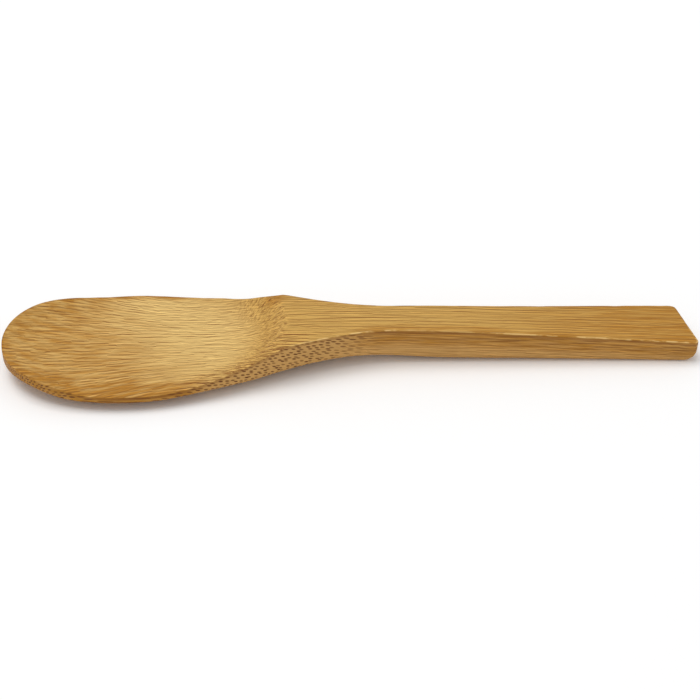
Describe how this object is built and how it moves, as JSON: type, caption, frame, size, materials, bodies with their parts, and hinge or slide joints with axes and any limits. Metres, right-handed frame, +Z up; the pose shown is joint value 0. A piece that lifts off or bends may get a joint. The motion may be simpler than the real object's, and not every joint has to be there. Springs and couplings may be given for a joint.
{
  "type": "bamboo spoon",
  "caption": "Carved bamboo spoon with a shallow oval bowl, a raised neck and a flat handle that widens to a slanted end.",
  "frame": {"origin": "on the table under the middle of the spoon's overall box", "axes": "+X from the bowl towards the end of the handle, +Z up out of the open bowl, +Y across to the handle's short corner"},
  "size_m": [0.2, 0.0484, 0.012],
  "materials": {
    "bamboo": "sanded and lightly oiled, satin"
  },
  "bodies": {
    "root": {"spoon_body": "bamboo"}
  },
  "joints": []
}
